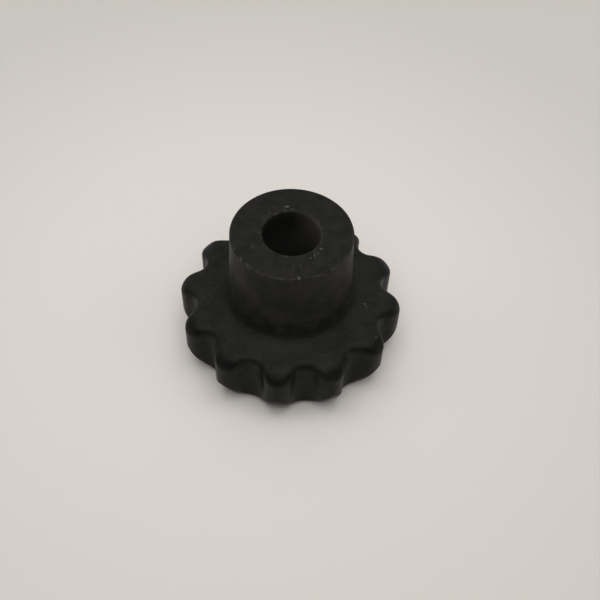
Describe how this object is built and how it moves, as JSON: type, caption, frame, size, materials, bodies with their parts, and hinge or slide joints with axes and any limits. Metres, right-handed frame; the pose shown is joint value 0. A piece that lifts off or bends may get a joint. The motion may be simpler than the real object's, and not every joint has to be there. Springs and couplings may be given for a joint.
{
  "type": "hand knob",
  "caption": "Black moulded hand knob with a lobed grip rim, a thick flange and a plain hub with a blind round bore for a shaft.",
  "frame": {"origin": "centre of the flat outer face, which the knob rests on", "axes": "+Z along the bore, from the outer face towards the end of the hub; one lobe points along +X"},
  "size_m": [0.047, 0.047, 0.0322],
  "materials": {
    "knob_plastic": "black moulding compound, dull, fine grained on the flange, scuffed on the hub"
  },
  "bodies": {
    "root": {"hand_knob": "knob_plastic"}
  },
  "joints": []
}
